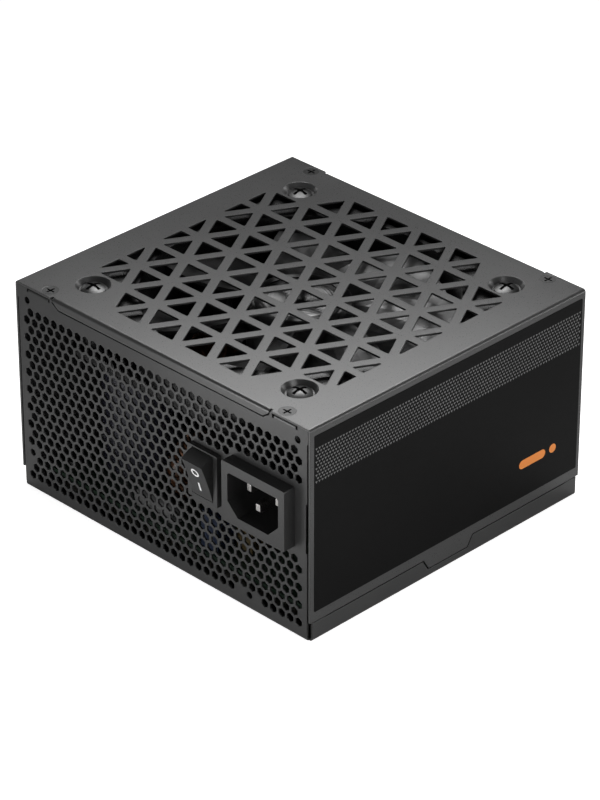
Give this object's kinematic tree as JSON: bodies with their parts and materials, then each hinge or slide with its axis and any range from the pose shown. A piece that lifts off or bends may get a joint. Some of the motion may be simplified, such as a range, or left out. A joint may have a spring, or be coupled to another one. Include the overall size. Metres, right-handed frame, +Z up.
{
  "type": "power supply unit",
  "caption": "Box-shaped computer power supply: folded steel case, honeycomb mains end with inlet and rocker switch, top fan behind a triangle grille, modular output sockets.",
  "frame": {"origin": "on the case's flat underside, midway between its two sides and midway between its two end walls", "axes": "+Z up from the underside to the fan grille, -Y out of the mains end wall, +X towards the side with the printed label"},
  "size_m": [0.1502, 0.1489, 0.086],
  "materials": {
    "case_paint": "fine matt powder coat, dark grey",
    "chassis_paint": "fine matt powder coat, dark grey",
    "screw_steel": "bright nickel plate",
    "black_screw": "dark zinc plate",
    "fan_plastic": "glossy black moulding",
    "rotor_plastic": "glossy translucent smoke-black moulding",
    "badge_metal": "spun aluminium foil",
    "black_plastic": "black moulded nylon",
    "rocker_plastic": "black moulded plastic, satin",
    "mark_white": "white print",
    "contact_metal": "nickel-plated brass",
    "bearing_bronze": "sintered bronze",
    "shaft_steel": "ground steel",
    "ferrite": "dark ferrite",
    "copper": "enamelled copper",
    "label_film": "printed polyester film, satin black",
    "board_green": "fibreglass board with solder mask",
    "insulation_film": "translucent polyester sheet",
    "standoff_steel": "plated steel",
    "heatsink_metal": "extruded, plain",
    "sleeve_dark": "shrunk sleeve, dark",
    "tape_yellow": "yellow winding tape",
    "relay_blue": "blue moulded case",
    "fuse_white": "white ceramic tube",
    "wire_brown": "brown insulation",
    "wire_blue": "blue insulation",
    "wire_green": "green insulation",
    "wire_black": "black insulation"
  },
  "bodies": {
    "case": {"chassis": "chassis_paint", "mains_end_wall": "chassis_paint", "top_cover": "case_paint", "cover_screws": "black_screw", "fan_screws": "screw_steel", "fan_frame": "fan_plastic", "fan_bearing": "bearing_bronze", "fan_stator": "copper", "fan_circuit_board": "board_green", "inlet_housing": "black_plastic", "inlet_pins": "contact_metal", "switch_housing": "black_plastic", "switch_terminals": "contact_metal", "side_label": "label_film", "rating_label": "label_film", "insulation_sheet": "insulation_film", "main_board": "board_green", "board_standoffs": "standoff_steel", "board_screws": "standoff_steel", "primary_heatsink": "heatsink_metal", "secondary_heatsink": "heatsink_metal", "bulk_capacitor": "sleeve_dark", "main_transformer": "tape_yellow", "standby_transformer": "tape_yellow", "boost_choke": "copper", "bridge_rectifier": "black_plastic", "power_transistors": "black_plastic", "output_rectifiers": "black_plastic", "filter_chokes": "copper", "line_capacitors": "tape_yellow", "output_capacitors": "sleeve_dark", "output_choke": "copper", "control_board": "board_green", "modular_board": "board_green", "motherboard_sockets": "black_plastic", "processor_sockets": "black_plastic", "drive_sockets": "black_plastic", "socket_pins": "contact_metal", "fuse": "fuse_white", "inrush_relay": "relay_blue", "live_wire": "wire_brown", "neutral_wire": "wire_blue", "earth_wire": "wire_green", "fan_lead": "wire_black", "bus_bars": "copper"},
    "fan": {"fan_rotor": "rotor_plastic", "fan_shaft": "shaft_steel", "fan_magnet_ring": "ferrite", "fan_hub_badge": "badge_metal"},
    "rocker": {"switch_rocker": "rocker_plastic", "rocker_marks": "mark_white"}
  },
  "joints": [
    {"name": "fan_spin", "type": "hinge", "parent": "case", "child": "fan", "pos_m": [0, 0, 0.07], "axis": [0, 0, 1], "continuous": true},
    {"name": "power_switch", "type": "hinge", "parent": "case", "child": "rocker", "pos_m": [0.024, -0.0709, 0.0476], "axis": [-1, 0, 0], "range_deg": [0, 36.4]}
  ]
}
